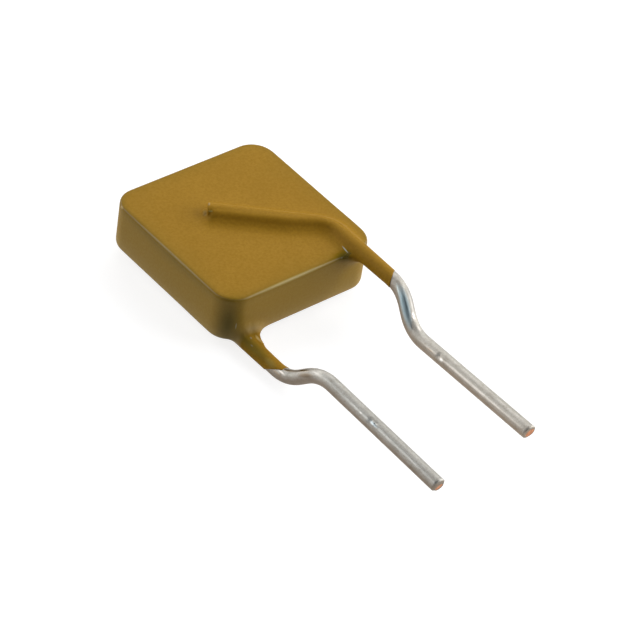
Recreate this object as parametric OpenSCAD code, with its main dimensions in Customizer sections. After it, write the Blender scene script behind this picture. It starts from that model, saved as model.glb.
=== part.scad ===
// Radial-leaded resettable fuse.
// A square of conductive polymer sits between two foil electrodes. A wire lead is soldered
// diagonally across each foil, and an epoxy coat is dipped over the whole and down each leg.
// Millimetres. The part lies flat: +Z runs through its thickness and the leads point to -Y.
// The lower side is the upper side turned half round about the lead direction.

/* [Coated body] */
// Width of the coated body, across the leads
body_w = 8.2; // [7.6:0.1:9.4]
// Length of the coated body, along the leads
body_l = 8.33; // [7.8:0.01:9.6]
// Thickness of the coated body between its broad faces
body_t = 2.38; // [2.2:0.02:2.6]
// Radius of the four upright corners
corner_r = 1.05; // [0.6:0.05:1.3]
// Radius of the edges round the broad faces
edge_r = 0.16; // [0.12:0.02:0.4]
// Coat between the rim and the edge of the element
rim_coat = 0.45; // [0.4:0.05:0.8]

/* [Fuse element] */
// Thickness of the conductive polymer sheet
element_t = 1.65; // [1.5:0.05:1.8]
// Thickness of each foil electrode
foil_t = 0.04; // [0.02:0.01:0.08]

/* [Leads] */
// Diameter of the tinned wire
wire_d = 0.65; // [0.5:0.05:0.75]
// Distance between the tails where the kinks end
lead_pitch = 5.0; // [4.4:0.1:5.6]
// Distance between the legs where they leave the body
leg_pitch = 5.88; // [5.2:0.02:6.2]
// Length of the soldered foot, up to the corner of its bend
foot_len = 5.3; // [4:0.1:5.6]
// Angle between the foot and the width of the body
foot_angle = 40; // [32:1:48]
// Distance from the front rim back to the corner of the foot's bend
foot_setback = 1.84; // [1.4:0.02:2.2]
// Centreline radius of the foot's bend
foot_bend_r = 1.3; // [1:0.1:1.6]
// Reach of a leg from the front rim to the corner of the kink
leg_reach = 2.91; // [2.4:0.01:4]
// Length of the kink along the leads
kink_run = 1.45; // [1.2:0.05:2]
// Centreline radius of the two bends of the kink
kink_bend_r = 1.15; // [0.6:0.05:1.25]
// Length of a tail from the corner of the kink to its cut end
tail_len = 7.44; // [4:0.02:20]
// Angle by which a tail leans away from the mid-plane
tail_lift = 2; // [0:0.5:4]
// Angle by which a tail leans towards the other tail
tail_toe = 0.6; // [0:0.1:1.5]

/* [Solder] */
// Film of solder between the wire and the foil
solder_film = 0.03; // [0.02:0.01:0.06]
// Width of a solder bead on its foil
bead_w = 1.3; // [1:0.1:1.6]

/* [Coat on the leads] */
// Coat over the wire where it crosses the body
sleeve_coat = 0.04; // [0.03:0.01:0.12]
// Coat over the wire where the sleeve ends
sleeve_end_coat = 0.02; // [0.01:0.005:0.025]
// Slant of a sleeve's end, which reaches furthest on the side of the other lead
sleeve_slant = 35; // [0:5:40]
// Turn of that slant about the leg, from the width towards the mid-plane
slant_turn = 40; // [0:5:60]
// Bare straight wire between a sleeve's end and the bend of the kink
bare_leg = 0.1; // [0:0.05:0.6]
// Radius of the fillet between a ridge and its broad face
ridge_fillet_r = 0.5; // [0.3:0.05:0.6]
// Radius of the web between a leg and the front rim
web_r = 1.15; // [0.6:0.05:1.3]

/* [Hidden] */
$fn = 64;

epoxy_color = [0.65, 0.49, 0.16];
polymer_color = [0.12, 0.12, 0.13];
foil_color = [0.62, 0.60, 0.55];
solder_color = [0.70, 0.70, 0.72];
tin_color = [0.68, 0.66, 0.62];

// Depth by which a fillet runs into the surface that it meets
fillet_bite = 0.02;
// The wire is this much fuller on its radius in a bend, and its straights lap into the bend this far
bend_swell = 0.002;
bend_lap = 0.02;
// Height of a bead's flank, and half its width there, as shares of the wire's own sizes
bead_height_share = 0.9;
bead_crest_share = 0.75;
// Solder past the end of the foot, and short of its bend
bead_end = 0.15;

wire_r = wire_d / 2;
sleeve_r = wire_r + sleeve_coat;
sleeve_end_r = wire_r + sleeve_end_coat;

element_w = body_w - 2 * rim_coat;
element_l = body_l - 2 * rim_coat;
foil_z = element_t / 2 + foil_t;
wire_z = foil_z + solder_film + wire_r;
face_z = body_t / 2;
front_y = -body_l / 2;
flat_front_y = front_y + edge_r;

// Centreline of the upper lead, from the inner end of its foot to its cut tail
foot_dir = [cos(foot_angle), -sin(foot_angle), 0];
tail_dir = [
    -sin(tail_toe),
    -cos(tail_toe) * cos(tail_lift),
    cos(tail_toe) * sin(tail_lift)
];
foot_corner = [leg_pitch / 2, front_y + foot_setback, wire_z];
kink_start = [leg_pitch / 2, front_y - leg_reach, wire_z];
kink_end = [lead_pitch / 2, front_y - leg_reach - kink_run, 0];
lead_path = [
    foot_corner - foot_len * foot_dir,
    foot_corner,
    kink_start,
    kink_end,
    kink_end + tail_len * tail_dir
];
bend_radii = [0, foot_bend_r, kink_bend_r, kink_bend_r, 0];

foot_turn = 90 - foot_angle;
leg_on_face = foot_corner[1] - bend_trim(1) - flat_front_y;
sleeve_len = run_len(1) - leg_on_face - bare_leg - sleeve_end_r * tan(sleeve_slant);

// Section of a ridge: the fillet's centre, and the point where it leaves the wire's sleeve
fillet_base_v = face_z - fillet_bite - wire_z;
fillet_v = fillet_base_v + ridge_fillet_r;
fillet_u = sqrt(pow(sleeve_r + ridge_fillet_r, 2) - pow(fillet_v, 2));
fillet_share = sleeve_r / (sleeve_r + ridge_fillet_r);
root_u = fillet_u + fillet_bite;
flare_r = sleeve_r + web_r - fillet_bite;

// The part's box stands on the lower ridge, with its middle over the origin
tip_y = lead_path[4][1] - wire_r * sqrt(1 - pow(tail_dir[1], 2));
body_y = -(tip_y + body_l / 2) / 2;
mid_z = wire_z + sleeve_r;

function unit(v) = v / norm(v);

// Straight run i of the lead: its direction, and its length between the bends at its ends
function run_dir(i) = unit(lead_path[i + 1] - lead_path[i]);
function run_len(i) = norm(lead_path[i + 1] - lead_path[i]) - bend_trim(i) - bend_trim(i + 1);

// Bend i of the lead: its angle, the length it takes from each run, the axis it turns about,
// and the turn of that axis from the bend before it
function bend_angle(i) = acos(run_dir(i - 1) * run_dir(i));
function bend_trim(i) = bend_radii[i] == 0 ? 0 : bend_radii[i] * tan(bend_angle(i) / 2);
function lap(i) = bend_radii[i] == 0 ? 0 : bend_lap;
function bend_axis(i) = i == 0
    ? [-run_dir(0)[1], run_dir(0)[0], 0]
    : unit(cross(run_dir(i - 1), run_dir(i)));
function bend_twist(i) = atan2(
    cross(bend_axis(i - 1), bend_axis(i)) * run_dir(i - 1),
    bend_axis(i - 1) * bend_axis(i)
);

// Places the upper side of the body, with its centre at the origin of what is drawn
module upper_side() {
    translate([0, body_y, mid_z])
        children();
}

// The same side turned half round about the lead direction
module lower_side() {
    translate([0, body_y, mid_z])
        rotate([0, 180, 0])
            children();
}

// Draws the lead from the start of run i, heading +Z: the run, its bend and all that follows
module wire_from(i) {
    translate([0, 0, -lap(i)])
        cylinder(r = wire_r, h = lap(i) + run_len(i) + lap(i + 1));
    if (i < len(lead_path) - 2)
        translate([0, 0, run_len(i)])
            rotate([0, 0, bend_twist(i + 1)])
                translate([bend_radii[i + 1], 0, 0]) {
                    rotate([90, 0, 180])
                        rotate_extrude(angle = bend_angle(i + 1))
                            translate([bend_radii[i + 1], 0])
                                circle(r = wire_r + bend_swell);
                    rotate([0, bend_angle(i + 1), 0])
                        translate([-bend_radii[i + 1], 0, 0])
                            wire_from(i + 1);
                }
}

// The bent wire of one lead
module wire() {
    translate(lead_path[0])
        rotate([0, 90, -foot_angle])
            wire_from(0);
}

// The solder bead under one foot, before the wire is taken out of it
module bead() {
    rise = bead_height_share * (solder_film + wire_r);
    crest = bead_crest_share * wire_r;
    translate([lead_path[0][0], lead_path[0][1], foil_z] - bead_end * foot_dir)
        rotate([90, 0, foot_turn])
            linear_extrude(height = run_len(0))
                polygon([[-bead_w / 2, 0], [bead_w / 2, 0], [crest, rise], [-crest, rise]]);
}

// A plate of the element's outline, about its middle
module plate(thickness) {
    cube([element_w, element_l, thickness], center = true);
}

// A foil on the upper face of the element
module foil() {
    translate([0, 0, element_t / 2 + foil_t / 2])
        plate(foil_t);
}

// Half the upright section of the slab at its rim, rounded at both edges
module rim_section(width) {
    translate([0, -face_z])
        square([width - edge_r, body_t]);
    translate([0, edge_r - face_z])
        square([width, body_t - 2 * edge_r]);
    for (s = [-1, 1])
        translate([width - edge_r, s * (face_z - edge_r)])
            circle(r = edge_r);
}

// The coated slab, rounded at its corners and edges
module slab() {
    core_w = body_w - 2 * corner_r;
    core_l = body_l - 2 * corner_r;
    cube([core_w, core_l, body_t], center = true);
    for (turn = [0, 180])
        rotate([0, 0, turn]) {
            translate([core_w / 2, core_l / 2, 0])
                rotate_extrude(angle = 90)
                    rim_section(corner_r);
            translate([core_w / 2, -core_l / 2, 0])
                rotate([0, 0, -90])
                    rotate_extrude(angle = 90)
                        rim_section(corner_r);
            translate([core_w / 2, core_l / 2, 0])
                rotate([90, 0, 0])
                    linear_extrude(height = core_l)
                        rim_section(corner_r);
            translate([-core_w / 2, core_l / 2, 0])
                rotate([90, 0, 90])
                    linear_extrude(height = core_w)
                        rim_section(corner_r);
        }
}

// Section of the coat over a wire: a round crest filleted into the broad face, on a root in the slab
module ridge_section() {
    circle(r = sleeve_r);
    translate([-root_u, -wire_z])
        square([2 * root_u, wire_z + fillet_base_v]);
    difference() {
        polygon([
            [-fillet_u, fillet_base_v],
            [fillet_u, fillet_base_v],
            [fillet_u * fillet_share, fillet_v * fillet_share],
            [-fillet_u * fillet_share, fillet_v * fillet_share]
        ]);
        for (s = [-1, 1])
            translate([s * fillet_u, fillet_v])
                circle(r = ridge_fillet_r);
    }
}

// The ridge over the rounded end of the foot and along its straight, heading -Y
module foot_ridge() {
    rotate_extrude(angle = 180)
        intersection() {
            ridge_section();
            translate([0, -body_t])
                square(2 * body_t);
        }
    rotate([90, 0, 0])
        linear_extrude(height = run_len(0))
            ridge_section();
}

// The ridge round the foot's bend, about the middle of the bend
module bend_ridge() {
    rotate([0, 0, -foot_turn])
        rotate_extrude(angle = foot_turn)
            translate([foot_bend_r, 0])
                ridge_section();
}

// The ridge along a leg, heading -Y to the end of the flat face
module leg_ridge() {
    rotate([90, 0, 0])
        linear_extrude(height = leg_on_face)
            ridge_section();
}

// The web that flares from a leg into the front rim, kept under the outline of the ridge
module web() {
    rotate([90, 0, 0])
        intersection() {
            rotate_extrude()
                difference() {
                    square([flare_r, web_r]);
                    translate([flare_r, web_r])
                        circle(r = web_r);
                }
            linear_extrude(height = web_r) {
                ridge_section();
                translate([-flare_r, -wire_z])
                    square([flare_r, wire_z + fillet_base_v]);
            }
        }
}

// The thin sleeve down a leg, thinning to a slanted end short of the kink
module sleeve() {
    cut = 4 * sleeve_r;
    rotate([90, 0, 0])
        difference() {
            cylinder(r1 = sleeve_r, r2 = sleeve_end_r, h = sleeve_len + cut / 2);
            translate([0, 0, sleeve_len])
                rotate([0, sleeve_slant, slant_turn])
                    translate([-cut, -cut, 0])
                        cube(2 * cut);
        }
}

// The coat over one wire, from the end of its foot to the end of its sleeve
module lead_cover() {
    translate(lead_path[0])
        rotate([0, 0, foot_turn]) {
            foot_ridge();
            translate([-foot_bend_r, -run_len(0), 0]) {
                bend_ridge();
                rotate([0, 0, -foot_turn])
                    translate([foot_bend_r, 0, 0]) {
                        leg_ridge();
                        translate([0, -leg_on_face, 0]) {
                            web();
                            sleeve();
                        }
                    }
            }
        }
}

// Everything that the coat is dipped over on one side
module coated_wire() {
    wire();
    bead();
}

module epoxy_coating() {
    color(epoxy_color)
        difference() {
            union() {
                upper_side()
                    slab();
                upper_side()
                    lead_cover();
                lower_side()
                    lead_cover();
            }
            upper_side()
                plate(2 * foil_z);
            upper_side()
                coated_wire();
            lower_side()
                coated_wire();
        }
}

module ptc_element() {
    color(polymer_color)
        upper_side()
            plate(element_t);
}

module upper_electrode() {
    color(foil_color)
        upper_side()
            foil();
}

module lower_electrode() {
    color(foil_color)
        lower_side()
            foil();
}

module upper_solder() {
    color(solder_color)
        upper_side()
            difference() {
                bead();
                wire();
            }
}

module lower_solder() {
    color(solder_color)
        lower_side()
            difference() {
                bead();
                wire();
            }
}

module upper_lead() {
    color(tin_color)
        upper_side()
            wire();
}

module lower_lead() {
    color(tin_color)
        lower_side()
            wire();
}

epoxy_coating();
ptc_element();
upper_electrode();
lower_electrode();
upper_solder();
lower_solder();
upper_lead();
lower_lead();
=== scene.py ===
"""Dresses the resettable fuse: its dipped epoxy coat, its two tinned leads and the sealed stack inside."""

import logging
import math
from dataclasses import dataclass, field
from enum import Enum

import bmesh
import bpy
import numpy as np
from mathutils import Matrix, Vector


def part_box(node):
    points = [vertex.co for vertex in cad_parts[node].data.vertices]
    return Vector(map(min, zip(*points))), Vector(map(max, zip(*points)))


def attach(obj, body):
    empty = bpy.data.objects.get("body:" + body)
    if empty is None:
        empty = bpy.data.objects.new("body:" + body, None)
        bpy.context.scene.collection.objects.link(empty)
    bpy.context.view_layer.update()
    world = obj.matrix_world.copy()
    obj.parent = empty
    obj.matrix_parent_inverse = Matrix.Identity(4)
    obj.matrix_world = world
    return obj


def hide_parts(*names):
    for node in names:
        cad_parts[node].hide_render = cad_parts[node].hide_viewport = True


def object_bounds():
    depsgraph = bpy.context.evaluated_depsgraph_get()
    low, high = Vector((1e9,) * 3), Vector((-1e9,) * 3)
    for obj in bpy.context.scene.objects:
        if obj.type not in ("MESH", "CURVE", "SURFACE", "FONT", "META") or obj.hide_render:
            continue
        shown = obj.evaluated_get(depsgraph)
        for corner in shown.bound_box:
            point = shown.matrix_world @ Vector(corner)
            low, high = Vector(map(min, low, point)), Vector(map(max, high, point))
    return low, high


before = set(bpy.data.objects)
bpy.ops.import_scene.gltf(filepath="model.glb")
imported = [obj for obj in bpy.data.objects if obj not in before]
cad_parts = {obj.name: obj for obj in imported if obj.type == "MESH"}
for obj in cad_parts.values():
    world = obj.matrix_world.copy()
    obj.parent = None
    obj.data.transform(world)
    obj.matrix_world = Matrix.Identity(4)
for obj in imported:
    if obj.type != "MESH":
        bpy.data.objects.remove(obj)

LOG = logging.getLogger("resettable_fuse")

CAD_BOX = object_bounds()
BODY = "root"
MM = 0.001
MERGE_MM = 0.0005

Colour = tuple[float, float, float]
Triple = tuple[float, float, float]
Span = tuple[float, float]
Socket = bpy.types.NodeSocket
Piece = bpy.types.Object
Material = bpy.types.Material

WHITE: Colour = (1.0, 1.0, 1.0)
WHOLE: Span = (0.0, 1.0)
MIDDLE: Span = (0.35, 0.65)
BROAD: Span = (0.3, 0.7)


class Side(Enum):
    """The two broad sides of the part, each with its own lead."""

    UPPER = "upper"
    LOWER = "lower"

    @property
    def sign(self) -> float:
        """1 above and -1 below."""
        return 1.0 if self is Side.UPPER else -1.0


def body_middle() -> Vector:
    """Middle of the coated body in the frame, in metres, taken from the sealed element."""
    low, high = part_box("ptc_element")
    return (low + high) / 2


# Node graphs


@dataclass(frozen=True)
class Relief:
    """Fine relief of a surface: its depth in millimetres, and the share of it that shows."""

    depth_mm: float
    strength: float


@dataclass(frozen=True)
class Mark:
    """A small long mark on a surface, in millimetres about the body: a painted highlight, glint, reflection
    or shade, or a tint of the surface itself.
    """

    place: Triple
    along: Triple
    sizes: Triple
    colour: Colour
    strength: float
    relief: float = 0.12
    polish: float = 0.15
    core: float = 0.4


class Graph:
    """A material's node tree, with short calls for the nodes that the finishes share."""

    def __init__(self, name: str) -> None:
        """Makes the material with a bare Principled shader.

        Args:
            name: the material's name.
        """
        self.material = bpy.data.materials.new(name)
        self.material.use_nodes = True
        self.tree = self.material.node_tree
        self.shader = self.tree.nodes["Principled BSDF"]
        self.place = self.tree.nodes.new("ShaderNodeTexCoord").outputs["Object"]

    def link(self, source: Socket, target: Socket) -> None:
        """Joins two sockets."""
        self.tree.links.new(source, target)

    def stretched(self, scale: Triple) -> Socket:
        """Object coordinates stretched by a factor along each axis.

        Args:
            scale: factor along X, Y and Z.

        Returns:
            The stretched coordinates.
        """
        node = self.tree.nodes.new("ShaderNodeMapping")
        node.inputs["Scale"].default_value = scale
        self.link(self.place, node.inputs["Vector"])
        return node.outputs["Vector"]

    def noise(
        self,
        feature_mm: float,
        detail: float = 2.0,
        vector: Socket | None = None,
        distortion: float = 0.0,
    ) -> Socket:
        """A noise whose lumps are about feature_mm across.

        Args:
            feature_mm: size of a lump in millimetres.
            detail: octaves of finer noise on it.
            vector: coordinates, or None for plain object coordinates.
            distortion: how far the noise is warped.

        Returns:
            The noise, from 0 to 1.
        """
        node = self.tree.nodes.new("ShaderNodeTexNoise")
        node.inputs["Scale"].default_value = 1 / (feature_mm * MM)
        node.inputs["Detail"].default_value = detail
        node.inputs["Distortion"].default_value = distortion
        self.link(vector or self.place, node.inputs["Vector"])
        return node.outputs["Fac"]

    def attribute(self, name: str) -> Socket:
        """The piece's own attribute of that name."""
        node = self.tree.nodes.new("ShaderNodeAttribute")
        node.attribute_name = name
        return node.outputs["Fac"]

    def remap(self, value: Socket, span: Span, to_span: Span) -> Socket:
        """A value taken from one range to another, and held inside it.

        Args:
            value: the value.
            span: both ends of its range.
            to_span: what these ends become.

        Returns:
            The value in its new range.
        """
        node = self.tree.nodes.new("ShaderNodeMapRange")
        self.link(value, node.inputs["Value"])
        for socket, end in zip(("From Min", "From Max", "To Min", "To Max"), (*span, *to_span)):
            node.inputs[socket].default_value = end
        return node.outputs["Result"]

    def share(self, value: Socket, most: float, span: Span = WHOLE) -> Socket:
        """A value that goes from 0 to most.

        Args:
            value: what it follows.
            most: where it ends.
            span: the range of the followed value through which it goes there.

        Returns:
            The share.
        """
        return self.remap(value, span, (0.0, most))

    def spot(self, mark: Mark) -> Socket:
        """Where a mark lies on the surface.

        Args:
            mark: the mark, whose first size runs along it.

        Returns:
            1 in the mark and 0 outside, with a soft rim.
        """
        mapping = self.tree.nodes.new("ShaderNodeMapping")
        mapping.vector_type = "TEXTURE"
        mapping.inputs["Location"].default_value = body_middle() + Vector(mark.place) * MM
        mapping.inputs["Rotation"].default_value = Vector(mark.along).to_track_quat("X", "Z").to_euler()
        mapping.inputs["Scale"].default_value = Vector(mark.sizes) * MM
        length = self.tree.nodes.new("ShaderNodeVectorMath")
        length.operation = "LENGTH"
        self.link(self.place, mapping.inputs["Vector"])
        self.link(mapping.outputs["Vector"], length.inputs[0])
        return self.remap(length.outputs["Value"], (mark.core, 1.0), (1.0, 0.0))

    def sum(self, first: Socket, *others: Socket) -> Socket:
        """Values added up."""
        total = first
        for other in others:
            node = self.tree.nodes.new("ShaderNodeMath")
            self.link(total, node.inputs[0])
            self.link(other, node.inputs[1])
            total = node.outputs["Value"]
        return total

    def blend(self, share: Socket, first: Colour | Socket, second: Colour | Socket) -> Socket:
        """A colour between two others.

        Args:
            share: 0 for the first colour, 1 for the second.
            first: a colour, or a socket that gives one.
            second: a colour, or a socket that gives one.

        Returns:
            The blended colour.
        """
        node = self.tree.nodes.new("ShaderNodeMix")
        node.data_type = "RGBA"
        self.link(share, node.inputs["Factor"])
        colour_sockets = [socket for socket in node.inputs if socket.type == "RGBA"]
        for socket, colour in zip(colour_sockets, (first, second)):
            if isinstance(colour, tuple):
                socket.default_value = (*colour, 1.0)
            else:
                self.link(colour, socket)
        return next(socket for socket in node.outputs if socket.type == "RGBA")

    def bump(self, height: Socket, relief: Relief) -> None:
        """Adds relief to the surface, over any relief that it already has.

        Args:
            height: the relief's course, from 0 to 1.
            relief: how deep it is.
        """
        node = self.tree.nodes.new("ShaderNodeBump")
        node.inputs["Strength"].default_value = relief.strength
        node.inputs["Distance"].default_value = relief.depth_mm * MM
        self.link(height, node.inputs["Height"])
        normal = self.shader.inputs["Normal"]
        if normal.is_linked:
            self.link(normal.links[0].from_socket, node.inputs["Normal"])
        self.link(node.outputs["Normal"], normal)

    def mark(self, mark: Mark, colour: Socket, rough: Socket) -> tuple[Socket, Socket]:
        """Lays one mark over a surface.

        Args:
            mark: the mark.
            colour: the surface's colour without it.
            rough: the surface's roughness without it.

        Returns:
            The colour and the roughness with it.
        """
        spot = self.spot(mark)
        self.bump(spot, Relief(mark.sizes[2], mark.relief))
        marked = self.blend(self.share(spot, mark.strength), colour, mark.colour)
        return marked, self.sum(rough, self.share(spot, -mark.polish))

    def dress(self, **sockets: float | Colour | Socket) -> Material:
        """Sets the shader's sockets, with constants on the sockets themselves.

        Args:
            sockets: socket names with underscores for spaces, and their values.

        Returns:
            The finished material.
        """
        for name, value in sockets.items():
            socket = self.shader.inputs[name.replace("_", " ")]
            if isinstance(value, tuple):
                socket.default_value = (*value, 1.0)
            elif isinstance(value, float):
                socket.default_value = value
            else:
                self.link(value, socket)
        return self.material


# Finishes


@dataclass(frozen=True)
class EpoxyFinish:
    """Satin ochre epoxy, mottled and darker where it ran thin, with painted shade in dark olive over its
    hollows and the corner turned from the lamps, a painted floor reflection low on its walls, and painted
    highlights and glints from its marks.
    """

    marks: tuple[Mark, ...]
    ochre: Colour = (0.335, 0.176, 0.009)
    pale: Colour = (0.37, 0.198, 0.012)
    deep: Colour = (0.28, 0.146, 0.007)
    rim: Colour = (0.330, 0.207, 0.012)
    thin: Colour = (0.22, 0.14, 0.012)
    # Painted shade: the dark olive laid over hollows, recesses and the corner turned from the lamps.
    painted_shade_colour: Colour = (0.085, 0.070, 0.009)
    # Painted floor reflection: the pale colour laid over the foot of the walls.
    painted_reflection_band: Colour = (0.62, 0.45, 0.18)
    cloud_mm: float = 2.4
    cloud_share: float = 0.6
    grain_mm: float = 0.11
    grain_span: Span = (0.35, 0.7)
    grain_share: float = 0.7
    grain_relief: Relief = Relief(0.0035, 0.75)
    ripple_mm: float = 0.7
    ripple_relief: Relief = Relief(0.010, 0.6)
    thin_share: float = 0.9
    painted_reflection_share: float = 0.5
    painted_shade_share: float = 0.85
    satin: Span = (0.58, 0.68)
    painted_shade_polish: float = 0.15
    thinnest: Span = (0.65, 1.0)
    thin_polish: float = 0.4
    thin_gloss: Span = (0.12, 1.0)
    rim_gloss: float = 0.3
    painted_shade_gloss: float = -0.3
    skirt_gloss: float = 0.4

    def material(self) -> Material:
        """The coat's material."""
        graph = Graph("dipped_epoxy")
        cloud = graph.noise(self.cloud_mm, detail=3.0)
        grain = graph.noise(self.grain_mm)
        painted_shade, thin, rim, painted_reflection_band = (graph.attribute(name) for name in ("painted_shade", "thin", "rim", "painted_reflection_band"))
        colour = graph.blend(graph.share(cloud, self.cloud_share, MIDDLE), self.ochre, self.pale)
        colour = graph.blend(graph.share(grain, self.grain_share, self.grain_span), colour, self.deep)
        colour = graph.blend(rim, colour, graph.blend(grain, self.rim, self.deep))
        colour = graph.blend(graph.share(thin, self.thin_share), colour, self.thin)
        # Painted floor reflection: lightens the foot of the walls.
        colour = graph.blend(graph.share(painted_reflection_band, self.painted_reflection_share), colour, self.painted_reflection_band)
        # Painted shade: blends towards dark olive where shade is marked.
        colour = graph.blend(graph.share(painted_shade, self.painted_shade_share), colour, self.painted_shade_colour)
        rough = graph.sum(
            graph.remap(grain, BROAD, self.satin),
            graph.share(painted_shade, -self.painted_shade_polish),
            graph.share(thin, -self.thin_polish, self.thinnest),
        )
        gloss = graph.sum(
            graph.remap(thin, self.thinnest, self.thin_gloss),
            graph.share(rim, self.rim_gloss),
            graph.share(painted_shade, self.painted_shade_gloss),
            graph.share(painted_reflection_band, self.skirt_gloss),
        )
        graph.bump(graph.noise(self.ripple_mm, detail=1.0), self.ripple_relief)
        graph.bump(grain, self.grain_relief)
        for mark in self.marks:
            colour, rough = graph.mark(mark, colour, rough)
        return graph.dress(Base_Color=colour, Roughness=rough, Specular_IOR_Level=gloss)


@dataclass(frozen=True)
class TinFinish:
    """Dull satin tin over drawn copper wire, streaked along the wire, with painted shade browning its
    underside.
    """

    name: str
    marks: tuple[Mark, ...]
    bright: Colour = (0.58, 0.56, 0.515)
    dull: Colour = (0.45, 0.425, 0.375)
    stained: Colour = (0.38, 0.33, 0.27)
    # Painted shade: the brown laid on the sides and underside of the wire.
    underside_shade: Colour = (0.34, 0.26, 0.185)
    streak_mm: float = 0.12
    streak_stretch: Triple = (1.0, 0.06, 1.0)
    streak_share: float = 0.6
    streak_relief: Relief = Relief(0.006, 0.2)
    speck_mm: float = 0.07
    speck_span: Span = (0.45, 0.7)
    speck_share: float = 0.5
    speck_relief: Relief = Relief(0.004, 0.7)
    blotch_mm: float = 0.5
    blotch_warp: float = 0.4
    blotch_span: Span = (0.55, 0.75)
    blotch_share: float = 0.4
    under_share: float = 0.8
    satin: Span = (0.55, 0.70)

    def material(self) -> Material:
        """The lead's material."""
        graph = Graph(self.name)
        streak = graph.noise(self.streak_mm, detail=3.0, vector=graph.stretched(self.streak_stretch))
        blotch = graph.noise(self.blotch_mm, detail=4.0, distortion=self.blotch_warp)
        speck = graph.noise(self.speck_mm)
        colour = graph.blend(graph.share(streak, self.streak_share, MIDDLE), self.bright, self.dull)
        colour = graph.blend(graph.share(speck, self.speck_share, self.speck_span), colour, self.stained)
        colour = graph.blend(graph.share(blotch, self.blotch_share, self.blotch_span), colour, self.stained)
        # Painted shade: browns the sides and underside of the wire.
        colour = graph.blend(graph.share(graph.attribute("under"), self.under_share), colour, self.underside_shade)
        rough = graph.remap(blotch, BROAD, self.satin)
        graph.bump(streak, self.streak_relief)
        graph.bump(speck, self.speck_relief)
        for mark in self.marks:
            colour, rough = graph.mark(mark, colour, rough)
        return graph.dress(Base_Color=colour, Metallic=1.0, Roughness=rough)


@dataclass(frozen=True)
class GrainFinish:
    """A finish of two tones with one grain, for the sheared ends and for the pieces inside the coat."""

    name: str
    ground: Colour
    tone: Colour
    grain_mm: float
    relief: Relief
    rough: Span | float
    metallic: float = 1.0
    detail: float = 4.0
    stretch: Triple = (1.0, 1.0, 1.0)
    contrast: Span = WHOLE

    def material(self) -> Material:
        """The material, with its roughness following the grain where a range is given for it."""
        graph = Graph(self.name)
        grain = graph.noise(self.grain_mm, self.detail, graph.stretched(self.stretch))
        graph.bump(grain, self.relief)
        rough = self.rough
        if isinstance(rough, tuple):
            rough = graph.remap(grain, BROAD, rough)
        return graph.dress(
            Base_Color=graph.blend(graph.share(grain, 1.0, self.contrast), self.ground, self.tone),
            Metallic=self.metallic,
            Roughness=rough,
        )


COPPER = GrainFinish(
    "sheared_copper",
    ground=(0.80, 0.36, 0.17),
    tone=(0.46, 0.16, 0.06),
    grain_mm=0.06,
    relief=Relief(0.015, 0.7),
    rough=0.45,
    detail=3.0,
    stretch=(1.0, 1.0, 0.15),
    contrast=MIDDLE,
)
POLYMER = GrainFinish(
    "carbon_polymer",
    ground=(0.010, 0.010, 0.011),
    tone=(0.028, 0.028, 0.030),
    grain_mm=0.15,
    relief=Relief(0.004, 0.6),
    rough=(0.6, 0.8),
    metallic=0.0,
)
FOIL = GrainFinish(
    "nickel_foil",
    ground=(0.50, 0.48, 0.43),
    tone=(0.38, 0.36, 0.31),
    grain_mm=0.2,
    relief=Relief(0.002, 0.6),
    rough=(0.4, 0.55),
    detail=3.0,
    stretch=(0.05, 1.0, 1.0),
)
SOLDER = GrainFinish(
    "satin_solder",
    ground=(0.56, 0.56, 0.58),
    tone=(0.40, 0.40, 0.42),
    grain_mm=0.1,
    relief=Relief(0.003, 0.6),
    rough=(0.3, 0.45),
)


# Modelling


def clear_selection() -> None:
    """Leaves edit mode and deselects everything."""
    if bpy.context.object and bpy.context.object.mode != "OBJECT":
        bpy.ops.object.mode_set(mode="OBJECT")
    bpy.ops.object.select_all(action="DESELECT")


def pick(piece: Piece) -> None:
    """Makes one piece the only selected and the active one, in object mode."""
    clear_selection()
    piece.select_set(True)
    bpy.context.view_layer.objects.active = piece


def bake_place() -> None:
    """Takes the place, the turn and the size of the selected piece into its mesh."""
    bpy.ops.object.transform_apply(location=True, rotation=True, scale=True)


def edit(piece: Piece) -> bmesh.types.BMesh:
    """Opens a piece in edit mode, with nothing of it selected.

    Args:
        piece: the piece.

    Returns:
        Its mesh for selecting faces and edges.
    """
    pick(piece)
    bpy.ops.object.mode_set(mode="EDIT")
    bpy.ops.mesh.select_mode(type="VERT")
    bpy.ops.mesh.select_all(action="DESELECT")
    return bmesh.from_edit_mesh(piece.data)


def mend(piece: Piece) -> None:
    """Merges doubles and turns all faces of a closed piece outwards."""
    edit(piece)
    bpy.ops.mesh.select_all(action="SELECT")
    bpy.ops.mesh.remove_doubles(threshold=MERGE_MM)
    bpy.ops.mesh.normals_make_consistent(inside=False)
    clear_selection()


def apply_modifier(piece: Piece, kind: str, **settings: object) -> None:
    """Adds one modifier to a piece and applies it.

    Args:
        piece: the piece.
        kind: the modifier's type.
        settings: its settings by name.
    """
    pick(piece)
    modifier = piece.modifiers.new(kind.lower(), kind)
    for name, value in settings.items():
        setattr(modifier, name, value)
    bpy.ops.object.modifier_apply(modifier=modifier.name)


def join(pieces: list[Piece], name: str) -> Piece:
    """Joins pieces into the first of them.

    Args:
        pieces: the pieces.
        name: name of the joined piece.

    Returns:
        The joined piece.
    """
    pick(pieces[0])
    for piece in pieces[1:]:
        piece.select_set(True)
    bpy.ops.object.join()
    pieces[0].name = name
    pieces[0].data.name = name
    return pieces[0]


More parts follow.
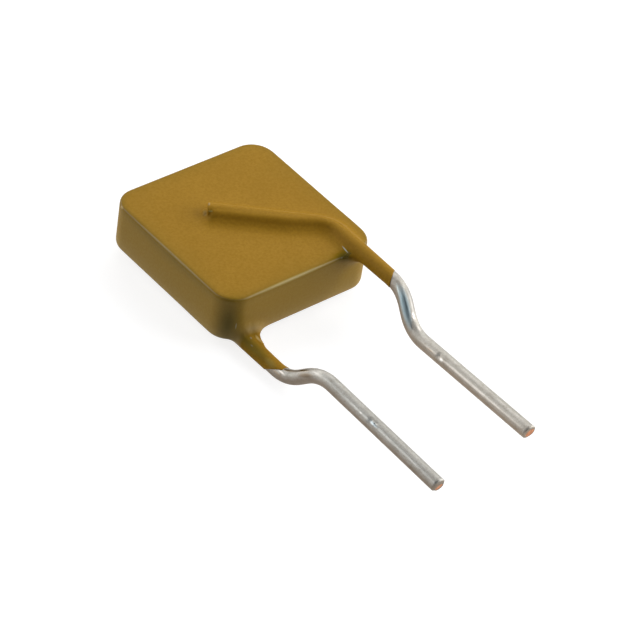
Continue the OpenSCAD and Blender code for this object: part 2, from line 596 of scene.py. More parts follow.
def on_side(piece: Piece, side: Side) -> Piece:
    """Takes a piece that was modelled for the upper side to the side that it belongs to.

    Args:
        piece: the piece.
        side: its side; for the lower one it is turned half round about the lead direction.

    Returns:
        The piece.
    """
    if side is Side.LOWER:
        edit(piece)
        bpy.ops.mesh.select_all(action="SELECT")
        bpy.ops.transform.rotate(value=math.pi, orient_axis="Y", center_override=(0.0, 0.0, 0.0))
        clear_selection()
    return piece


def places_of(piece: Piece) -> np.ndarray:
    """Places of a piece's vertices, one to a row."""
    places = np.empty(len(piece.data.vertices) * 3, np.float32)
    piece.data.vertices.foreach_get("co", places)
    return places.reshape(-1, 3)


def into_frame(piece: Piece) -> None:
    """Takes a piece from millimetres about the body's middle into the frame, with its place in its mesh."""
    pick(piece)
    piece.scale = (MM, MM, MM)
    piece.location = body_middle()
    bake_place()


class Tube:
    """A round tube drawn along straight runs and bends, in millimetres about the body's middle."""

    def __init__(self, name: str, start: Vector, heading: Vector, radius: float, sides: int) -> None:
        """Adds the first ring.

        Args:
            name: the piece's name.
            start: middle of the first ring.
            heading: direction in which the tube leaves it.
            radius: the tube's radius.
            sides: vertices round the tube.
        """
        self.at = start.copy()
        self.heading = heading.normalized()
        clear_selection()
        bpy.ops.mesh.primitive_circle_add(
            vertices=sides,
            radius=radius,
            fill_type="NOTHING",
            location=start,
            rotation=heading.to_track_quat("Z", "Y").to_euler(),
        )
        self.piece = bpy.context.object
        self.piece.name = name
        bake_place()
        bpy.ops.object.mode_set(mode="EDIT")
        bpy.ops.mesh.select_mode(type="VERT")
        bpy.ops.mesh.select_all(action="SELECT")

    def run(self, length: float, steps: int = 1) -> None:
        """Draws the tube straight on.

        Args:
            length: how far.
            steps: rings along it.
        """
        step = self.heading * (length / steps)
        for _ in range(steps):
            bpy.ops.mesh.extrude_region_move(TRANSFORM_OT_translate={"value": step})
        self.at += self.heading * length

    def bend(self, heading: Vector, radius: float, steps: int) -> None:
        """Draws the tube round a bend.

        Args:
            heading: direction after the bend.
            radius: radius of the bend's centreline.
            steps: rings along it.
        """
        heading = heading.normalized()
        axis = self.heading.cross(heading).normalized()
        angle = self.heading.angle(heading)
        middle = self.at + axis.cross(self.heading) * radius
        bpy.ops.mesh.spin(steps=steps, angle=-angle, center=middle, axis=axis)
        self.at = middle + Matrix.Rotation(angle, 3, axis) @ (self.at - middle)
        self.heading = heading

    def taper(self, share: float) -> None:
        """Scales the last ring about its middle."""
        bpy.ops.transform.resize(value=(share, share, share), center_override=self.at)

    def shift(self, offset: Vector) -> None:
        """Moves the last ring aside."""
        bpy.ops.transform.translate(value=offset)
        self.at += offset

    def close(self) -> Piece:
        """Caps both ends.

        Returns:
            The closed tube.
        """
        bpy.ops.mesh.select_all(action="SELECT")
        bpy.ops.mesh.fill_holes(sides=0)
        mend(self.piece)
        return self.piece


@dataclass(frozen=True)
class WireRoute:
    """Centreline of the upper lead, in millimetres about the body's middle."""

    body_l: float = 8.33
    wire_z: float = 1.22
    lead_pitch: float = 5.0
    leg_pitch: float = 5.88
    foot_len: float = 5.3
    foot_angle: float = 40.0
    foot_setback: float = 1.84
    foot_bend_r: float = 1.3
    leg_reach: float = 2.91
    kink_run: float = 1.45
    kink_bend_r: float = 1.9
    tail_len: float = 7.44
    tail_lift: float = 2.0
    tail_toe: float = 0.6

    @property
    def front_y(self) -> float:
        """Where the front rim of the body is."""
        return -self.body_l / 2

    def corners(self) -> list[Vector]:
        """The foot's inner end, the three corners of the bends and the cut end."""
        slope = math.radians(self.foot_angle)
        lift = math.radians(self.tail_lift)
        toe = math.radians(self.tail_toe)
        along_foot = Vector((math.cos(slope), -math.sin(slope), 0.0))
        along_tail = Vector((-math.sin(toe), -math.cos(toe) * math.cos(lift), math.cos(toe) * math.sin(lift)))
        foot_corner = Vector((self.leg_pitch / 2, self.front_y + self.foot_setback, self.wire_z))
        kink_start = Vector((self.leg_pitch / 2, self.front_y - self.leg_reach, self.wire_z))
        kink_end = Vector((self.lead_pitch / 2, kink_start.y - self.kink_run, 0.0))
        return [
            foot_corner - along_foot * self.foot_len,
            foot_corner,
            kink_start,
            kink_end,
            kink_end + along_tail * self.tail_len,
        ]

    def bend_radii(self) -> list[float]:
        """Radius of the bend at each corner, 0 at the two ends."""
        return [0.0, self.foot_bend_r, self.kink_bend_r, self.kink_bend_r, 0.0]

    def heading(self, run: int) -> Vector:
        """Direction of a straight run."""
        corners = self.corners()
        return (corners[run + 1] - corners[run]).normalized()

    def trim(self, corner: int) -> float:
        """Length that the bend at a corner takes from each of its runs."""
        radius = self.bend_radii()[corner]
        return radius * math.tan(self.heading(corner - 1).angle(self.heading(corner)) / 2) if radius else 0.0

    def straight(self, run: int) -> float:
        """Length of a run between its bends."""
        corners = self.corners()
        return (corners[run + 1] - corners[run]).length - self.trim(run) - self.trim(run + 1)


@dataclass(frozen=True)
class Nick:
    """A small dent in a tail: how far along it and which way it faces, its depth and its reach."""

    along: float
    facing: float
    depth: float
    reach: float


@dataclass
class Lead:
    """One tinned wire lead, from its soldered foot to its sheared end."""

    side: Side
    nicks: tuple[Nick, ...]
    route: WireRoute = field(default_factory=WireRoute)
    wire_r: float = 0.325
    sides: int = 48
    cut_slant: float = -13.0
    core_shift: Span = (0.05, -0.05)
    rim: float = 0.05
    rolled: Span = (0.4, 0.3)
    collar: Span = (1.0, 0.1)
    core: Span = (0.3, -0.2)
    run_steps: tuple[int, ...] = (6, 12, 6, 120)
    bend_steps: int = 18
    side_slope: float = 0.7

    def build(self) -> Piece:
        """Models the lead.

        Returns:
            The lead in millimetres about the body's middle.
        """
        route = self.route
        corners = route.corners()
        radii = route.bend_radii()
        tube = Tube(f"{self.side.value}_wire", corners[0], route.heading(0), self.wire_r, self.sides)
        for run, steps in enumerate(self.run_steps):
            tube.run(route.straight(run), steps)
            if radii[run + 1]:
                tube.bend(route.heading(run + 1), radii[run + 1], self.bend_steps)
        bpy.ops.transform.rotate(
            value=math.radians(self.cut_slant),
            orient_axis="X",
            center_override=tube.at,
        )
        piece = tube.close()
        self.shear(piece)
        for nick in self.nicks:
            self.dent(piece, nick)
        return on_side(piece, self.side)

    def step_in(self, step: Span) -> None:
        """Insets the selected end by a step, given as shares of the rim: how wide, and how far out."""
        bpy.ops.mesh.inset(thickness=self.rim * step[0], depth=self.rim * step[1])

    def shear(self, piece: Piece) -> None:
        """Rolls the rim of the cut end over, and gives the bare copper inside it the second material."""
        mesh = edit(piece)
        bpy.ops.mesh.select_mode(type="FACE")
        caps = [face for face in mesh.faces if len(face.verts) == self.sides]
        cap = min(caps, key=lambda face: face.calc_center_median().y)
        cap.select_set(True)
        bmesh.update_edit_mesh(piece.data)
        self.step_in(self.rolled)
        self.step_in(self.collar)
        bpy.ops.transform.translate(value=(self.core_shift[0], 0.0, self.core_shift[1]))
        self.step_in(self.core)
        for face in bmesh.from_edit_mesh(piece.data).faces:
            face.smooth = not face.select
            face.material_index = int(face.select)
        clear_selection()

    def dent(self, piece: Piece, nick: Nick) -> None:
        """Pushes a dent into the tail.

        Args:
            piece: the lead, as the upper one lies.
            nick: the dent.
        """
        heading = self.route.heading(3)
        middle = self.route.corners()[3] + heading * nick.along
        angle = math.radians(nick.facing)
        outwards = Vector((math.sin(angle), 0.0, math.cos(angle)))
        mesh = edit(piece)
        place = middle + outwards * self.wire_r
        nearest = min(mesh.verts, key=lambda vert: (vert.co - place).length)
        nearest.select_set(True)
        bmesh.update_edit_mesh(piece.data)
        bpy.ops.transform.translate(
            value=-outwards * nick.depth,
            use_proportional_edit=True,
            proportional_edit_falloff="SMOOTH",
            proportional_size=nick.reach,
        )
        clear_selection()

    def dress(self, piece: Piece, tin: Material, copper: Material) -> None:
        """Gives the wire its tin, and its cut end its copper.

        Args:
            piece: the lead, in the frame.
            tin: material of the wire.
            copper: material of the cut end.
        """
        piece.data.materials.append(tin)
        piece.data.materials.append(copper)
        # Painted shade: none on top of the wire, full on its sides and underside.
        under = piece.data.attributes.new("under", "FLOAT", "POINT")
        for vert, value in zip(piece.data.vertices, under.data):
            value.value = min(max(1.0 - vert.normal.z / self.side_slope, 0.0), 1.0)
        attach(piece, BODY)
        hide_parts(f"{self.side.value}_lead")


@dataclass(frozen=True)
class PaintedShade:
    """A place where shade is painted onto the coat in dark olive."""

    place: Triple
    reach: Triple
    strength: float


@dataclass(frozen=True)
class SleeveCut:
    """Where a sleeve ends: how far from the front rim, how slanted, and which way the slant faces."""

    side: Side
    reach: float
    slant: float
    turn: float


@dataclass
class DippedCoat:
    """The epoxy coat: a rounded slab, a ridge over each foot, and a sleeve down each leg."""

    painted_shades: tuple[PaintedShade, ...] = ()
    route: WireRoute = field(default_factory=WireRoute)
    width: float = 8.15
    length: float = 8.28
    thickness: float = 2.33
    sag: float = 0.045
    corner_r: float = 1.05
    edge_r: float = 0.12
    lower_edge_r: float = 0.24
    ridge_r: float = 0.365
    leg_r: float = 0.372
    leg_end_r: float = 0.348
    sleeve_bend: float = 0.42
    foot_cover: float = 0.05
    foot_lift: float = 0.05
    foot_press: float = 0.02
    foot_bare: float = 0.15
    flank_shift: float = 0.14
    flank_drop: float = 0.04
    flank_fade: float = 1.3
    rim_r: float = 0.385
    rim_len: float = 0.05
    bead_place: Triple = (-0.04, 0.08, -0.07)
    bead_sizes: Triple = (0.19, 0.2, 0.19)
    sleeve_cuts: tuple[SleeveCut, ...] = (
        SleeveCut(Side.UPPER, 2.25, 36.0, -4.0),
        SleeveCut(Side.LOWER, 2.255, 57.0, 57.0),
    )
    upper_web_r: float = 0.4
    lower_web_r: float = 0.9
    web_low: float = 0.92
    web_high: float = 1.07
    fillet_r: float = 0.5
    coarse_voxel: float = 0.055
    fine_voxel: float = 0.04
    kept_share: float = 0.55
    thin_reach: float = 0.2
    skirt_reach: float = 0.35
    rim_fade: float = 0.2
    swell_height: float = 0.05
    swell_reach: float = 1.6
    sides: int = 40
    corner_steps: int = 12
    edge_steps: int = 8
    foot_steps: int = 6
    bend_steps: int = 16
    sleeve_steps: int = 8
    web_sides: int = 96
    bead_sides: int = 32
    bead_rings: int = 16
    smooth_factor: float = 0.5
    smooth_rounds: int = 3
    foot_samples: int = 60

    def slab(self) -> Piece:
        """The slab, rounded at its corners and then at its edges."""
        clear_selection()
        bpy.ops.mesh.primitive_cube_add(size=1.0)
        piece = bpy.context.object
        piece.scale = (self.width, self.length, self.thickness)
        bake_place()
        half = self.thickness / 2
        rounding = {"affect": "EDGES", "clamp_overlap": False}
        mesh = edit(piece)
        bpy.ops.mesh.select_mode(type="EDGE")
        for edge in mesh.edges:
            edge.select_set(abs(edge.verts[0].co.z - edge.verts[1].co.z) > half)
        bmesh.update_edit_mesh(piece.data)
        bpy.ops.mesh.bevel(offset=self.corner_r, segments=self.corner_steps, **rounding)
        for level, radius in ((half, self.edge_r), (-half, self.lower_edge_r)):
            mesh = edit(piece)
            bpy.ops.mesh.select_mode(type="EDGE")
            for edge in mesh.edges:
                edge.select_set(all(abs(vert.co.z - level) < self.edge_r / 2 for vert in edge.verts))
            bmesh.update_edit_mesh(piece.data)
            bpy.ops.mesh.bevel(offset=radius, segments=self.edge_steps, **rounding)
        bpy.ops.mesh.select_all(action="SELECT")
        bpy.ops.transform.translate(value=(0.0, 0.0, -self.sag))
        clear_selection()
        return piece

    def raised(self, side: Side) -> Vector:
        """How far the end of a foot stands off the slab; the one that the part lies on is pressed in."""
        return Vector((0.0, 0.0, self.foot_lift if side is Side.UPPER else -self.foot_press))

    def cover(self, side: Side) -> Piece:
        """The coat over one wire, from near the end of its foot to past the end of its sleeve.

        Args:
            side: which wire it covers.

        Returns:
            The closed cover.
        """
        route = self.route
        bend = route.corners()[1] - route.heading(0) * route.trim(1)
        start = route.corners()[0] + self.raised(side)
        heading = (bend - start).normalized()
        bare_end = start + heading * self.foot_bare
        tube = Tube(f"{side.value}_cover", bare_end, heading, self.ridge_r, self.sides)
        tube.run((bend - tube.at).length, self.foot_steps)
        tube.bend(route.heading(1), route.foot_bend_r, self.bend_steps)
        tube.run(tube.at.y - route.front_y)
        tube.taper(self.leg_r / self.ridge_r)
        tube.run(route.leg_reach - route.trim(2))
        tube.taper(self.leg_end_r / self.leg_r)
        kinked = route.heading(1).lerp(route.heading(2), self.sleeve_bend)
        tube.bend(kinked, route.kink_bend_r, self.sleeve_steps)
        return on_side(tube.close(), side)

    def flank(self, side: Side) -> Piece:
        """The thicker coat on one flank of the foot, where it sagged while it was wet.

        Args:
            side: which foot it lies along.

        Returns:
            The closed flank.
        """
        route = self.route
        heading = route.heading(0)
        beside = Vector((heading.y, -heading.x, 0.0)) * self.flank_shift
        beside.z = -self.flank_drop
        start = route.corners()[0] + heading * self.foot_bare + self.raised(side)
        tube = Tube(f"{side.value}_flank", start + beside, heading, self.ridge_r, self.sides)
        length = route.straight(0) - self.foot_bare
        tube.run(length - self.flank_fade)
        tube.run(self.flank_fade)
        tube.shift(-beside - self.raised(side))
        return on_side(tube.close(), side)

    def web(self, side: Side) -> Piece:
        """The flared web between a leg's inner flank and the front rim.

        Args:
            side: which leg it belongs to.

        Returns:
            The web, its free flank hollow.
        """
        route = self.route
        radius = self.upper_web_r if side is Side.UPPER else self.lower_web_r
        leg_x = route.leg_pitch / 2
        middle_z = (self.web_low + self.web_high) / 2
        flank = leg_x - self.leg_r
        clear_selection()
        bpy.ops.mesh.primitive_cube_add(
            size=1.0,
            location=((flank - radius + leg_x) / 2, route.front_y, middle_z),
            scale=(leg_x - flank + radius, 2 * radius, self.web_high - self.web_low),
        )
        piece = bpy.context.object
        bake_place()
        bpy.ops.mesh.primitive_cylinder_add(
            vertices=self.web_sides,
            radius=radius,
            depth=1.0,
            location=(flank - radius, route.front_y - radius, middle_z),
        )
        hollow = bpy.context.object
        apply_modifier(piece, "BOOLEAN", operation="DIFFERENCE", object=hollow)
        bpy.data.objects.remove(hollow)
        return on_side(piece, side)

    def foot_end(self, side: Side) -> Piece:
        """The end of the foot under its thin coat: a short stub with a raised rim, and a bead below it.

        Args:
            side: which wire it covers.

        Returns:
            The stub and the bead, joined.
        """
        route = self.route
        heading = route.heading(0)
        start = route.corners()[0] - heading * self.foot_cover + self.raised(side)
        tube = Tube(f"{side.value}_foot_end", start, heading, self.ridge_r, self.sides)
        tube.run(self.rim_len)
        tube.taper(self.rim_r / self.ridge_r)
        tube.run(self.rim_len)
        tube.taper(self.ridge_r / self.rim_r)
        tube.run(2 * self.ridge_r)
        stub = tube.close()
        beside = Vector((heading.y, -heading.x, 0.0))
        along, across, up = self.bead_place
        clear_selection()
        bpy.ops.mesh.primitive_uv_sphere_add(
            segments=self.bead_sides,
            ring_count=self.bead_rings,
            radius=1.0,
            location=start + heading * along + beside * across + Vector((0.0, 0.0, up)),
            rotation=heading.to_track_quat("X", "Z").to_euler(),
            scale=self.bead_sizes,
        )
        bead = bpy.context.object
        bake_place()
        return on_side(join([stub, bead], stub.name), side)

    def cut_sleeve(self, piece: Piece, cut: SleeveCut) -> None:
        """Ends one sleeve at its slant.

        Args:
            piece: the coat.
            cut: where and how the sleeve ends.
        """
        route = self.route
        turn = cut.side.sign
        slant = math.radians(cut.slant)
        around = math.radians(cut.turn)
        outwards = Vector((math.cos(around), 0.0, math.sin(around))) * turn
        facing = Vector((0.0, -1.0, 0.0)) * math.cos(slant) + outwards * math.sin(slant)
        mesh = edit(piece)
        for vert in mesh.verts:
            vert.select_set(vert.co.y < route.front_y - self.lower_web_r and vert.co.x * turn > 0)
        mesh.select_flush(True)
        bmesh.update_edit_mesh(piece.data)
        bpy.ops.mesh.bisect(
            plane_co=(route.leg_pitch / 2 * turn, route.front_y - cut.reach, route.wire_z * turn),
            plane_no=facing,
            use_fill=True,
            clear_outer=True,
        )
        clear_selection()

    def build(self) -> Piece:
        """Models the coat.

        Returns:
            The coat in millimetres about the body's middle.
        """
        flowing = [self.slab()]
        for side in Side:
            flowing += [self.cover(side), self.flank(side), self.web(side)]
        piece = join(flowing, "dipped_coat")
        coarse = {"mode": "VOXEL", "voxel_size": self.coarse_voxel, "use_smooth_shade": True}
        fine = {**coarse, "voxel_size": self.fine_voxel}
        smooth = {"factor": self.smooth_factor, "iterations": self.smooth_rounds}
        apply_modifier(piece, "REMESH", **fine)
        apply_modifier(piece, "DISPLACE", strength=self.fillet_r, mid_level=0.0)
        apply_modifier(piece, "REMESH", **coarse)
        apply_modifier(piece, "SMOOTH", **smooth)
        apply_modifier(piece, "DISPLACE", strength=-self.fillet_r, mid_level=0.0)
        piece = join([piece, *(self.foot_end(side) for side in Side)], "dipped_coat")
        apply_modifier(piece, "REMESH", **fine)
        apply_modifier(piece, "SMOOTH", **smooth)
        self.mark_painted_masks(piece)
        for side in Side:
            self.swell(piece, side)
        for cut in self.sleeve_cuts:
            self.cut_sleeve(piece, cut)
        apply_modifier(piece, "DECIMATE", ratio=self.kept_share)
        mend(piece)
        return piece

    def swell(self, piece: Piece, side: Side) -> None:
        """Draws the coat up a little on both flanks of a ridge, as it crept there while wet.

        Args:
            piece: the coat.
            side: whose ridge.
        """
        turn = side.sign
        end, corner = (np.array(point[:2]) for point in self.route.corners()[:2])
        foot = (end + np.linspace(0.0, 1.0, self.foot_samples)[:, None] * (corner - end)) * (turn, 1.0)
        places = places_of(piece)
        away = np.linalg.norm(places[:, None, :2] - foot, axis=2).min(axis=1)
        near = np.clip(1.0 - away / self.swell_reach, 0.0, 1.0)
        height = places[:, 2] * turn - self.thickness / 2 + self.sag * turn
        free = np.clip(1.0 - np.abs(height) / self.ridge_r, 0.0, 1.0)
        places[:, 2] += turn * self.swell_height * near ** 2 * (3.0 - 2.0 * near) * free
        piece.data.vertices.foreach_set("co", places.ravel())
        piece.data.update()

    def mark_painted_masks(self, piece: Piece) -> None:
        """Writes what the finish reads: where shade is painted, where the coat ran thin, where it covers the
        rim, and the foot of the walls where a floor reflection is painted.

        Args:
            piece: the coat.
        """
        places = places_of(piece)
        # Painted shade at the listed places; depth is how strongly each vertex is shaded.
        depth = np.zeros(len(places))
        for painted_shade in self.painted_shades:
            away = np.linalg.norm((places - np.array(painted_shade.place)) / np.array(painted_shade.reach), axis=1)
            depth = np.maximum(depth, painted_shade.strength * np.exp(-away ** 2))
        corner = np.array((self.width / 2, self.length / 2)) - self.corner_r
        past = np.abs(places[:, :2]) - corner
        inside = np.minimum(past.max(axis=1), 0.0) + np.linalg.norm(np.maximum(past, 0.0), axis=1)
        inside = self.corner_r - inside
        below = self.thickness / 2 - places[:, 2] - self.sag
        edge = np.exp(-np.maximum(np.maximum(inside, below), 0.0) / self.thin_reach)
        edge[(inside < -self.edge_r) | (below < -self.edge_r)] = 0.0
        beside_rim = np.clip(1.0 - (np.abs(inside) - self.edge_r) / self.rim_fade, 0.0, 1.0)
        rim = np.clip(below / self.thin_reach, 0.0, 1.0) * beside_rim
        # Painted floor reflection: strongest at the bottom of the walls, and only beside the rim.
        painted_reflection_band = np.exp(-np.maximum(self.thickness - below, 0.0) / self.skirt_reach)
        painted_reflection_band *= beside_rim
        for name, values in (("painted_shade", depth), ("thin", edge), ("rim", rim), ("painted_reflection_band", painted_reflection_band)):
            attribute = piece.data.attributes.new(name, "FLOAT", "POINT")
            attribute.data.foreach_set("value", values.astype(np.float32))

    def dress(self, piece: Piece, epoxy: Material) -> None:
        """Gives the coat its epoxy.

        Args:
            piece: the coat, in the frame.
            epoxy: its material.
        """
        piece.data.materials.append(epoxy)
        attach(piece, BODY)
        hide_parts("epoxy_coating")


@dataclass
class SealedStack:
    """The pieces inside the coat: the element, its foils and the solder under the feet."""

    def dress(self) -> None:
        """Gives each sealed piece its finish."""
        finishes = {
            "ptc_element": POLYMER.material(),
            "electrode": FOIL.material(),
            "solder": SOLDER.material(),
        }
        for name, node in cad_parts.items():
            for ending, material in finishes.items():
                if name.endswith(ending):
                    node.data.materials.clear()
                    node.data.materials.append(material)
                    LOG.info("%s dressed as %s", name, material.name)


# Studio


@dataclass(frozen=True)
class Softbox:
    """A soft square lamp that faces the body."""

    name: str
    azimuth: float
    elevation: float
    distance: float
    size: float
    power: float

    def build(self) -> None:
        """Hangs the lamp."""
        azimuth = math.radians(self.azimuth)
        elevation = math.radians(self.elevation)
        reach = Vector((
            math.cos(elevation) * math.cos(azimuth),
            math.cos(elevation) * math.sin(azimuth),
            math.sin(elevation),
        ))
        lamp = bpy.data.lights.new(self.name, "AREA")
        lamp.size = self.size
        lamp.energy = self.power
        lamp_object = bpy.data.objects.new(self.name, lamp)
        bpy.context.scene.collection.objects.link(lamp_object)
        lamp_object.location = body_middle() + reach * self.distance
        lamp_object.rotation_euler = (-reach).to_track_quat("-Z", "Y").to_euler()


@dataclass
class Studio:
    """The pale floor, the soft lamps, the sky and the camera."""

    softboxes: tuple[Softbox, ...] = (
        Softbox("left_softbox", 125.0, 22.0, 0.30, 0.34, 0.80),
        Softbox("right_softbox", -28.0, 22.0, 0.30, 0.34, 1.36),
        Softbox("back_softbox", 50.0, 42.0, 0.10, 0.073, 0.047),
    )
    floor_size: float = 4.0
    floor_colour: Colour = (0.35, 0.35, 0.35)
    floor_glow: float = 0.15
    floor_lift: float = 0.66
    floor_gloss: float = 0.48
    sky_axis: Triple = (0.45, 0.45, 0.77)
    sky_edge: float = -0.3
    sky_low: float = 0.02
    sky_high: float = 0.12
    camera_offset: Triple = (-74.398, -78.732, 89.056)
    camera_turn: Triple = (48.9922, -7.2056, -39.2294)
    lens: float = 183.25
    clip_start: float = 0.01

    def build(self) -> None:
        """Sets up everything round the object."""
        self.floor()
        self.sky()
        for softbox in self.softboxes:
            softbox.build()
        self.camera()
        bpy.context.scene.view_settings.view_transform = "Standard"

    def floor(self) -> None:
        """The floor, a light table: it glows a little, and is lifted to white where it is seen directly."""
        clear_selection()
        bpy.ops.mesh.primitive_plane_add(size=self.floor_size, location=(0.0, 0.0, CAD_BOX[0].z))
        floor = bpy.context.object
        floor.name = "studio_floor"
        bake_place()
        graph = Graph("pale_floor")
        rays = graph.tree.nodes.new("ShaderNodeLightPath")
        seen = (self.floor_glow, self.floor_glow + self.floor_lift)
        glow = graph.sum(
            graph.remap(rays.outputs["Is Camera Ray"], WHOLE, seen),
            graph.share(rays.outputs["Is Glossy Ray"], self.floor_gloss),
        )
        pale = graph.dress(
            Base_Color=self.floor_colour,
            Roughness=1.0,
            Specular_IOR_Level=0.0,
            Emission_Color=WHITE,
            Emission_Strength=glow,
        )
        floor.data.materials.append(pale)

    def sky(self) -> None:
        """A soft sky, brighter overhead than at the horizon."""
        world = bpy.data.worlds.new("studio_sky")
        bpy.context.scene.world = world
        world.use_nodes = True
        tree = world.node_tree
        direction = tree.nodes.new("ShaderNodeTexCoord").outputs["Generated"]
        height = tree.nodes.new("ShaderNodeVectorMath")
        height.operation = "DOT_PRODUCT"
        height.inputs[1].default_value = self.sky_axis
        ramp = tree.nodes.new("ShaderNodeMapRange")
        ramp.interpolation_type = "SMOOTHSTEP"
        ramp.inputs["From Min"].default_value = self.sky_edge
        ramp.inputs["To Min"].default_value = self.sky_low
        ramp.inputs["To Max"].default_value = self.sky_high
        tree.links.new(direction, height.inputs[0])
        tree.links.new(height.outputs["Value"], ramp.inputs["Value"])
        background = tree.nodes["Background"]
        background.inputs["Color"].default_value = (*WHITE, 1.0)
        tree.links.new(ramp.outputs["Result"], background.inputs["Strength"])

    def camera(self) -> None:
        """The camera at the photograph's viewing angle."""
        lens = bpy.data.cameras.new("photo_camera")
        lens.lens = self.lens
        lens.clip_start = self.clip_start
        camera = bpy.data.objects.new("photo_camera", lens)
        bpy.context.scene.collection.objects.link(camera)
        camera.location = body_middle() + Vector(self.camera_offset) * MM
        camera.rotation_euler = [math.radians(angle) for angle in self.camera_turn]
        bpy.context.scene.camera = camera


# Painted shade, in dark olive: on the front corner turned from the lamps, at the lower leg's root, in the
# hollow where the upper lead leaves the coat and its twin under the lower lead, in a band below the left top
# edge, along the lower sleeve, and in the recess at the ridge's end.
PAINTED_SHADES = (
    PaintedShade((-3.70, -3.88, -0.25), (0.54, 0.40, 1.15), 0.86),
    PaintedShade((-2.75, -4.25, -0.85), (0.38, 0.35, 0.32), 0.55),
    PaintedShade((2.16, -4.09, 1.10), (0.42, 0.26, 0.21), 1.0),
    PaintedShade((-4.08, -0.20, 0.88), (0.15, 3.20, 0.13), 0.3),
    PaintedShade((-2.28, -4.04, -1.12), (0.28, 0.30, 0.22), 1.0),
    PaintedShade((-3.20, -4.95, -1.00), (0.30, 1.20, 0.32), 0.3),
    PaintedShade((-1.22, 0.68, 1.30), (0.16, 0.16, 0.12), 0.35),
)

GLINT = (0.50, 0.53, 0.46)
# Painted highlight along the top edges.
PAINTED_EDGE_HIGHLIGHT = (0.47, 0.36, 0.11)
# Painted pale highlight.
PAINTED_PALE_HIGHLIGHT = (0.56, 0.40, 0.14)
# Painted greenish highlight.
PAINTED_GREEN_HIGHLIGHT = (0.44, 0.44, 0.15)
OLIVE = (0.27, 0.20, 0.03)
YELLOW_OLIVE = (0.36, 0.28, 0.06)
ALONG_X = (1.0, 0.0, 0.0)
ALONG_Y = (0.0, 1.0, 0.0)
ALONG_Z = (0.0, 0.0, 1.0)
ALONG_LEG = (0.0, -1.0, 0.0)
ALONG_FOOT = (0.766, -0.643, 0.0)
ACROSS_FOOT = (-0.643, -0.766, 0.0)
DOWN_ROOT = (-0.09, -1.0, -0.09)
# Painted highlights along the front and left top edges, at the left corner's edge, on the ridge end's rim,
# over the bead and along its flank; painted glints in the pocket, on the corner and on the lower sleeve; a
# painted highlight on the lower web; olive and yellow-olive tints on the lower sleeve.
EPOXY_MARKS = (
    Mark((-0.75, -4.13, 1.09), ALONG_X, (2.9, 0.12, 0.12), PAINTED_EDGE_HIGHLIGHT, 0.75),
    Mark((-4.06, -0.30, 1.09), ALONG_Y, (3.0, 0.10, 0.10), PAINTED_EDGE_HIGHLIGHT, 0.18),
    Mark((-4.03, 3.40, 1.05), ALONG_Y, (0.16, 0.08, 0.08), PAINTED_PALE_HIGHLIGHT, 0.6),
    Mark((-1.10, 1.10, 1.60), ACROSS_FOOT, (0.14, 0.06, 0.06), GLINT, 0.5),
    Mark((-1.33, 1.02, 1.28), ACROSS_FOOT, (0.18, 0.14, 0.14), PAINTED_PALE_HIGHLIGHT, 0.6),
    Mark((-1.22, 0.80, 1.50), ALONG_FOOT, (0.16, 0.05, 0.05), PAINTED_GREEN_HIGHLIGHT, 0.5),
    Mark((-3.15, -4.95, -0.92), ALONG_LEG, (1.2, 0.30, 0.30), OLIVE, 0.6),
    Mark((2.42, -3.90, 1.22), DOWN_ROOT, (0.28, 0.035, 0.035), GLINT, 0.9),
    Mark((2.07, -4.15, 1.08), ALONG_X, (0.07, 0.05, 0.05), GLINT, 0.35),
    Mark((-3.42, -4.06, -0.34), ALONG_Z, (0.20, 0.035, 0.035), GLINT, 0.35),
    Mark((-2.66, -4.72, -0.90), ALONG_LEG, (0.36, 0.09, 0.09), PAINTED_PALE_HIGHLIGHT, 0.75),
    Mark((-3.14, -6.15, -0.94), ALONG_LEG, (0.40, 0.20, 0.20), YELLOW_OLIVE, 0.45),
    Mark((-2.96, -4.58, -0.82), ALONG_LEG, (0.07, 0.05, 0.05), GLINT, 0.35),
    Mark((-3.15, -4.89, -0.92), ALONG_LEG, (0.10, 0.04, 0.04), GLINT, 0.3),
)

# Painted highlight, white.
WHITE_TIN_HIGHLIGHT = (0.92, 0.91, 0.88)
# Painted highlight, pink.
PINK_TIN_HIGHLIGHT = (0.85, 0.80, 0.74)
BLUE_TIN = (0.35, 0.50, 0.60)
# Painted reflection on the kink, blue.
KINK_BLUE_REFLECTION = (0.52, 0.70, 0.78)
# Painted reflection on the kink, cyan.
CYAN_TIN_REFLECTION = (0.66, 0.76, 0.76)
COOL_TIN = (0.62, 0.71, 0.74)
# Painted shade that dims a highlight.
GREY_TIN_SHADE = (0.29, 0.28, 0.26)
# Painted dark reflection lines, and painted shade in the dents.
DARK_TIN_REFLECTION_AND_SHADE = (0.12, 0.14, 0.16)
BROWN_TIN = (0.40, 0.32, 0.24)
DARK_BROWN_TIN = (0.27, 0.20, 0.13)
UMBER_TIN = (0.20, 0.15, 0.10)
ALONG_UPPER_KINK = (-0.38, -1.16, -0.86)
ALONG_LOWER_KINK = (0.13, -0.85, 0.57)
ALONG_UPPER_TAIL = (-0.01, -1.0, 0.035)
ALONG_LOWER_TAIL = (0.01, -1.0, -0.035)
